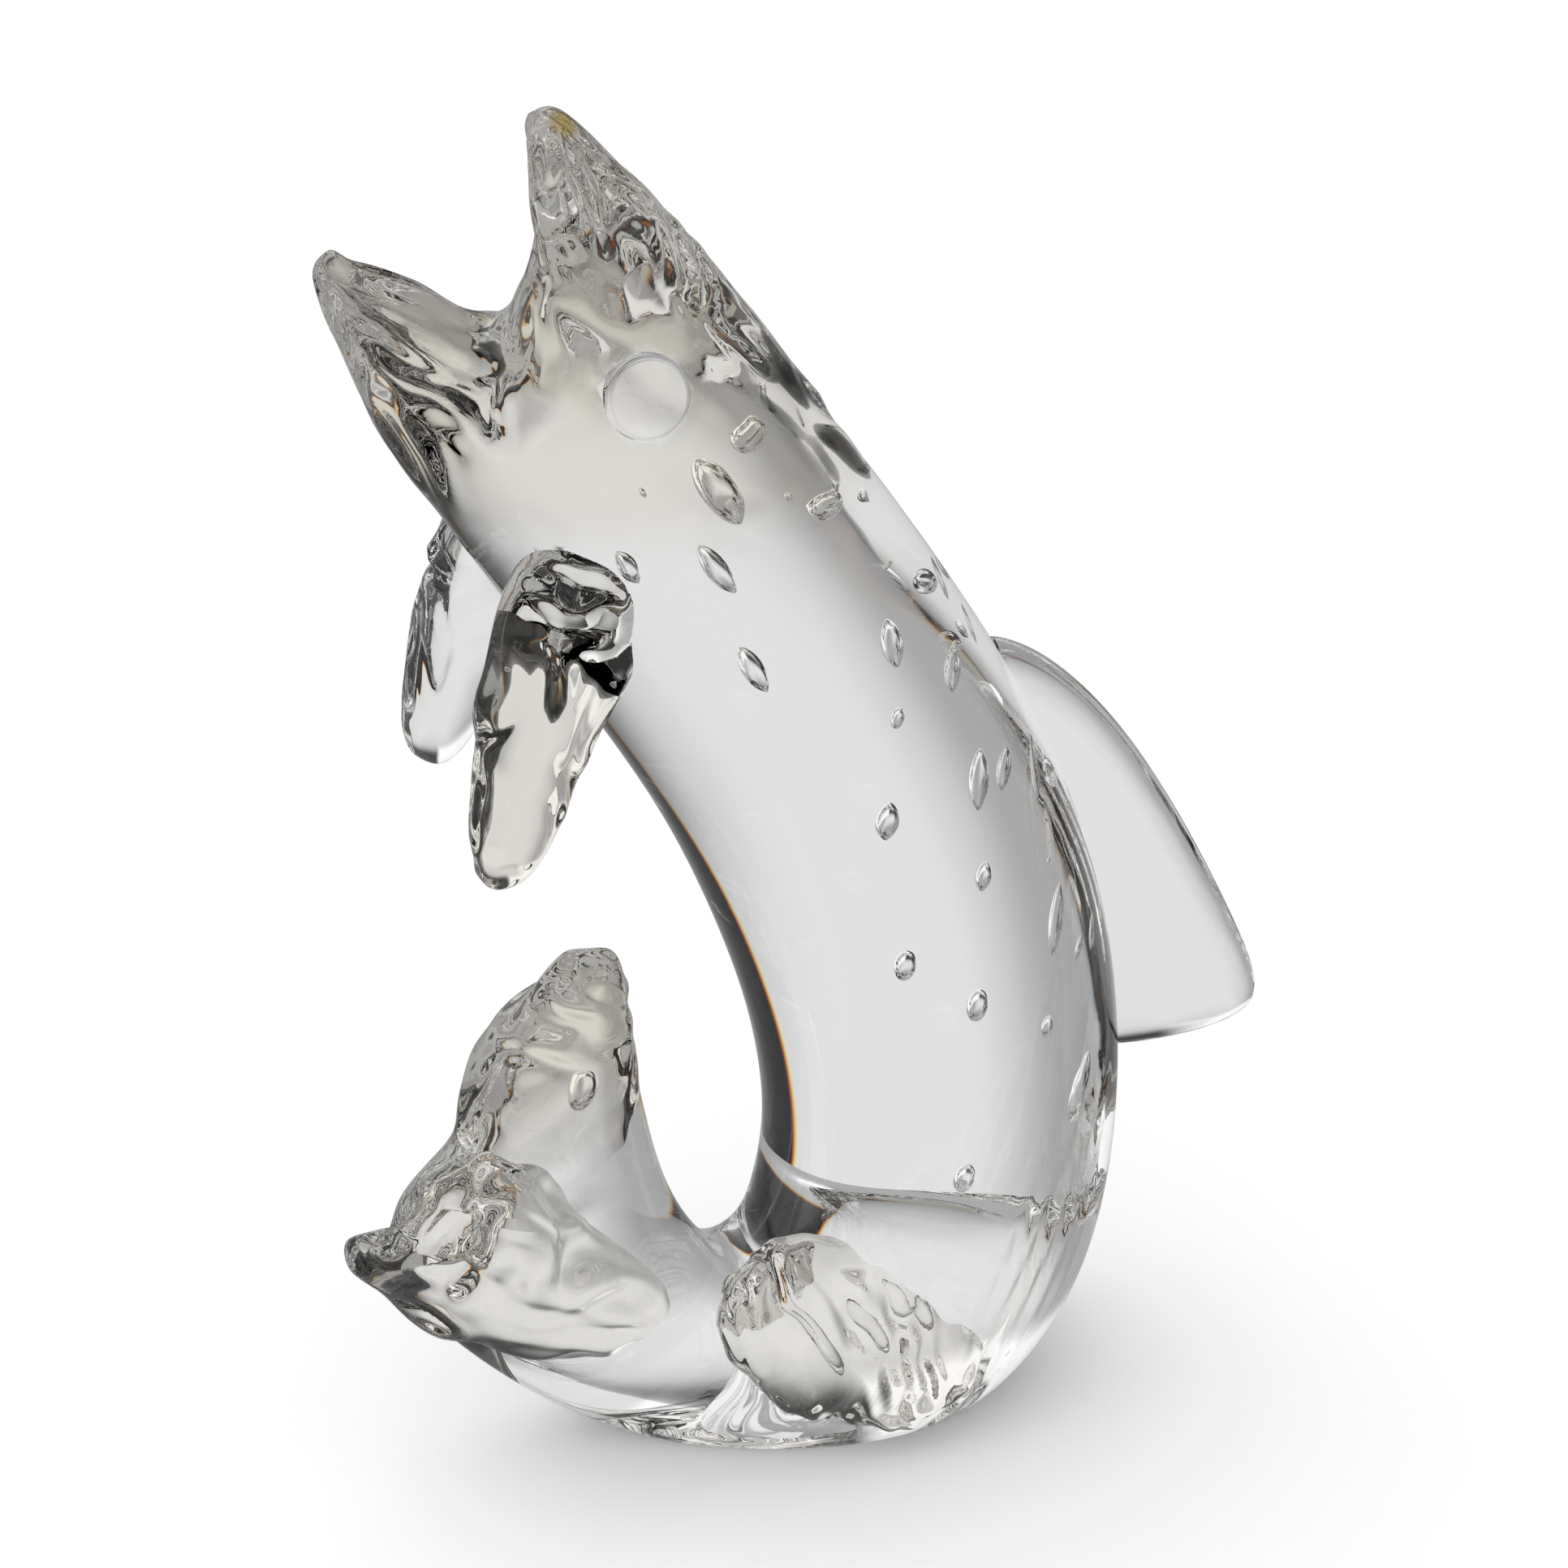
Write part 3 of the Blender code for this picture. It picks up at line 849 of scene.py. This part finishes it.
# %% Node helpers
def add_node(tree, kind, values=(), **settings):
    """Add a node, set it up, and link or set its inputs in order."""
    node = tree.nodes.new(kind)
    for name, value in settings.items():
        setattr(node, name, value)
    for number, value in enumerate(values):
        if isinstance(value, bpy.types.NodeSocket):
            tree.links.new(value, node.inputs[number])
        elif value is not None:
            node.inputs[number].default_value = value
    return node


def maths(tree, operation, *values):
    """Output of a math node."""
    return add_node(tree, "ShaderNodeMath", values, operation=operation).outputs[0]


MIX_FACTOR, MIX_FIRST, MIX_SECOND, MIX_RESULT = 0, 6, 7, 2


def blend(tree, factor, first, second):
    """Output of a node that blends two colours."""
    node = tree.nodes.new("ShaderNodeMix")
    node.data_type = "RGBA"
    wanted = ((MIX_FACTOR, factor), (MIX_FIRST, first), (MIX_SECOND, second))
    for number, value in wanted:
        if isinstance(value, bpy.types.NodeSocket):
            tree.links.new(value, node.inputs[number])
        else:
            node.inputs[number].default_value = value
    return node.outputs[MIX_RESULT]


print("node helpers ready")

# %% [markdown]
# ## Amber patch
# One small amber patch is mixed into the colour of the glass at the tip of the upper jaw.
# Its place is found once by a ray from the camera, and is then a fixed point of the object.

# %% Amber patch
AMBER_PATCH_PIXEL = (694, 152)
AMBER_PATCH_REACH = 3.4 * MM
AMBER_PATCH_CORE = 0.3 * AMBER_PATCH_REACH
# colour of the small amber patch at the tip of the upper jaw
AMBER_PATCH_COLOUR = (0.72, 0.42, 0.07, 1.0)

amber_patch_place = find_skin(trout_mesh).ray_cast(camera.location, photo_ray(*AMBER_PATCH_PIXEL))[0]
print("stain in mm:", [round(c / MM, 1) for c in amber_patch_place])

# %% [markdown]
# ## Clear glass
# The rings are the sine of a smooth noise, which follows that noise like contour
# lines on a map.  Metallic and Transmission Weight stay plain, and the tint goes only
# into Base Color.

# %% Clear glass
CLEAR_COLOUR = (0.995, 0.996, 1.0, 1.0)
WORKED_COLOUR = (0.87, 0.835, 0.745, 1.0)
SWIRL_SCALE = 62.0
SWIRL_DETAIL = 1.0
SWIRL_ROUGHNESS = 0.35
RING_COUNT = 26.0
PATCH_SCALE = 90.0
PATCH_ROUGHNESS = 0.5
RING_HEIGHT = 0.035 * MM


def make_glass():
    """Clear crystal, a little warmer and finely ringed where it was worked."""
    material = bpy.data.materials.new("clear_crystal")
    material.use_nodes = True
    tree = material.node_tree
    shader = tree.nodes["Principled BSDF"]
    shader.inputs["Roughness"].default_value = 0.0
    shader.inputs["IOR"].default_value = GLASS_IOR
    shader.inputs["Transmission Weight"].default_value = 1.0
    place = tree.nodes.new("ShaderNodeTexCoord").outputs["Object"]
    attribute = tree.nodes.new("ShaderNodeAttribute")
    attribute.attribute_name = "worked"
    worked = attribute.outputs["Fac"]

    swirl_values = (place, None, SWIRL_SCALE, SWIRL_DETAIL, SWIRL_ROUGHNESS)
    swirl = add_node(tree, "ShaderNodeTexNoise", swirl_values).outputs[0]
    rings = maths(tree, "SINE", maths(tree, "MULTIPLY", swirl, RING_COUNT))
    patch_values = (place, None, PATCH_SCALE, 0.0, PATCH_ROUGHNESS)
    patches = add_node(tree, "ShaderNodeTexNoise", patch_values).outputs[0]
    strength = maths(tree, "MULTIPLY", patches, worked)
    bump = tree.nodes.new("ShaderNodeBump")
    bump.inputs["Strength"].default_value = 1.0
    bump.inputs["Distance"].default_value = RING_HEIGHT
    tree.links.new(maths(tree, "MULTIPLY", rings, strength), bump.inputs["Height"])
    tree.links.new(bump.outputs["Normal"], shader.inputs["Normal"])

    far = add_node(
        tree, "ShaderNodeVectorMath", (place, amber_patch_place), operation="DISTANCE"
    ).outputs[1]
    amber_patch_values = (far, AMBER_PATCH_REACH, AMBER_PATCH_CORE, 0.0, 1.0)
    amber_share = add_node(
        tree, "ShaderNodeMapRange", amber_patch_values, interpolation_type="SMOOTHSTEP"
    ).outputs[0]
    tint = blend(tree, worked, CLEAR_COLOUR, WORKED_COLOUR)
    # an amber colour is blended into the glass around a point at the tip of the upper jaw
    colour = blend(tree, amber_share, tint, AMBER_PATCH_COLOUR)
    tree.links.new(colour, shader.inputs["Base Color"])
    return material


trout_mesh.materials.clear()
trout_mesh.materials.append(make_glass())
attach(trout, "root")
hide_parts("glass_trout")
print("material:", trout_mesh.materials[0].name)

# %% [markdown]
# ## Floor
# The floor is large and pale, and takes the soft shadow.  Rays that the glass bends or
# mirrors pass through it and find the cards of the world instead, so the glass looks
# the same over any floor.

# %% Floor
FLOOR_HALF_SIDE = 6.0
FLOOR_COLOUR = (0.9, 0.9, 0.9, 1.0)
FLOOR_ROUGHNESS = 0.9


def make_floor():
    """Large pale floor that takes the shadow and lets the glass see the cards."""
    mesh = bmesh.new()
    bmesh.ops.create_grid(mesh, x_segments=1, y_segments=1, size=FLOOR_HALF_SIDE)
    floor = place_object(mesh, "studio_floor")
    material = bpy.data.materials.new("pale_floor")
    material.use_nodes = True
    tree = material.node_tree
    shader = tree.nodes["Principled BSDF"]
    shader.inputs["Base Color"].default_value = FLOOR_COLOUR
    shader.inputs["Roughness"].default_value = FLOOR_ROUGHNESS
    path = tree.nodes.new("ShaderNodeLightPath").outputs
    bent = maths(tree, "MAXIMUM", path["Is Glossy Ray"], path["Is Transmission Ray"])
    through = tree.nodes.new("ShaderNodeBsdfTransparent").outputs[0]
    mix = add_node(tree, "ShaderNodeMixShader", (bent, shader.outputs[0], through))
    tree.links.new(mix.outputs[0], tree.nodes["Material Output"].inputs["Surface"])
    floor.data.materials.append(material)
    return floor


make_floor()
print("floor is", round(2 * FLOOR_HALF_SIDE), "m wide")

# %% [markdown]
# ## Studio
# Glass shows only what it bends into view, so the room matters more than the lamps.
# A grey table lies below, soft boxes stand behind, above and in front, and black cards
# on the right and in front draw the dark line along the belly and the folds.  The
# cards are windows in the world, given by their direction, because a ray that leaves
# the glass then finds them whichever way the trout is turned.  Red and blue see each
# sharp card a little wider or narrower, as a prism does, which gives the thin orange
# and blue fringes.

# %% Cards
CARDS = (
    # azimuth from +Y towards +X, elevation, half width, half height, softness, grey
    (0, -90, 400, 84, 6, 0.42),  # table
    (48, -26, 52, 18, 14, 0.82),  # pale sweep, behind on the right
    (-80, -10, 36, 30, 10, 0.62),  # grey wall on the left
    (-28, 16, 40, 24, 5, 1.10),  # soft box behind
    (0, 80, 400, 30, 8, 1.10),  # soft box overhead
    (-125, 25, 28, 20, 6, 0.95),  # soft box in front on the left
    (165, 28, 18, 18, 6, 0.80),  # soft box in front
    (104, 42, 40, 14, 5, 0.80),  # soft box above the black card on the right
    (200, -25, 66, 19, 3, 0.02),  # low black card in front
    (117, -18, 50, 40, 2.0, 0.012),  # black card on the right
)
DARK_ROOM = 0.04
FRINGE = 1.0
SHARP_CARD = 4
HALF_TURN = 180


def card_window(tree, azimuth, elevation, card):
    """Three windows, one per colour, that are 1 inside a card and 0 outside it."""
    middle, height, half_width, half_height, soft, _ = card
    turn = maths(tree, "SUBTRACT", azimuth, middle)
    aside = maths(tree, "ABSOLUTE", maths(tree, "WRAP", turn, HALF_TURN, -HALF_TURN))
    above = maths(tree, "ABSOLUTE", maths(tree, "SUBTRACT", elevation, height))
    past_side = maths(tree, "SUBTRACT", aside, half_width)
    past_top = maths(tree, "SUBTRACT", above, half_height)
    past = maths(tree, "MAXIMUM", past_side, past_top)
    fringe = FRINGE if soft < SHARP_CARD else 0.0
    spread = add_node(
        tree, "ShaderNodeVectorMath", (past, (fringe, 0, -fringe)), operation="ADD"
    ).outputs[0]
    window = tree.nodes.new("ShaderNodeMapRange")
    window.data_type = "FLOAT_VECTOR"
    window.interpolation_type = "SMOOTHSTEP"
    vector, low, high = window.inputs[6:9]
    low.default_value = (soft, soft, soft)
    high.default_value = (-soft, -soft, -soft)
    tree.links.new(spread, vector)
    return window.outputs[1]


def see_cards(tree, direction):
    """Colour that the glass sees in a direction: each card laid over the ones before."""
    parts = add_node(tree, "ShaderNodeSeparateXYZ", (direction,)).outputs
    azimuth = maths(tree, "DEGREES", maths(tree, "ARCTAN2", parts[0], parts[1]))
    elevation = maths(tree, "DEGREES", maths(tree, "ARCSINE", parts[2]))
    seen = (DARK_ROOM,) * 3
    for card in CARDS:
        window = card_window(tree, azimuth, elevation, card)
        rise = add_node(
            tree, "ShaderNodeVectorMath", ((card[-1],) * 3, seen), operation="SUBTRACT"
        ).outputs[0]
        seen = add_node(
            tree, "ShaderNodeVectorMath", (rise, window, seen), operation="MULTIPLY_ADD"
        ).outputs[0]
    return seen


print(len(CARDS), "cards")

# %% [markdown]
# ## World
# The camera and the floor see a plain white room, brighter from the upper left, which
# throws the soft shadow to the lower right.  Every other ray sees the cards.  A ray
# that is mirrored on the outer skin counts as glossy and not as transmitted, and sees
# the cards dimmer, because the photograph's reflections are faint.

# %% World
MIRRORED = 0.5
KEY_SIDE = (-0.55, 0.1, 0.83)
KEY_LEVEL = 1.5
FILL_LEVEL = 0.5
BOUNCES = 16
GLOSSY_BOUNCES = 8


def make_world():
    """White room for the camera and the floor, a room of cards for the glass."""
    world = bpy.data.worlds.new("studio")
    bpy.context.scene.world = world
    world.use_nodes = True
    tree = world.node_tree
    background = tree.nodes["Background"]
    background.inputs["Strength"].default_value = 1.0
    direction = tree.nodes.new("ShaderNodeTexCoord").outputs["Generated"]
    path = tree.nodes.new("ShaderNodeLightPath").outputs
    mirrored = maths(tree, "GREATER_THAN", path["Is Glossy Ray"], path["Is Transmission Ray"])
    dimmed = maths(tree, "MULTIPLY_ADD", mirrored, MIRRORED - 1.0, 1.0)
    cards = add_node(
        tree, "ShaderNodeVectorMath", (see_cards(tree, direction), None, None, dimmed), operation="SCALE"
    ).outputs[0]
    toward = add_node(
        tree, "ShaderNodeVectorMath", (direction, KEY_SIDE), operation="DOT_PRODUCT"
    ).outputs[1]
    lamp = maths(tree, "MULTIPLY_ADD", maths(tree, "MAXIMUM", toward, 0.0), KEY_LEVEL, FILL_LEVEL)
    plain = maths(tree, "MAXIMUM", path["Is Camera Ray"], path["Is Diffuse Ray"])
    tree.links.new(blend(tree, plain, cards, lamp), background.inputs["Color"])


make_world()
scene = bpy.context.scene
scene.view_settings.view_transform = "Standard"
scene.cycles.max_bounces = BOUNCES
scene.cycles.transmission_bounces = BOUNCES
scene.cycles.glossy_bounces = GLOSSY_BOUNCES
print("light paths of up to", scene.cycles.max_bounces, "bounces")
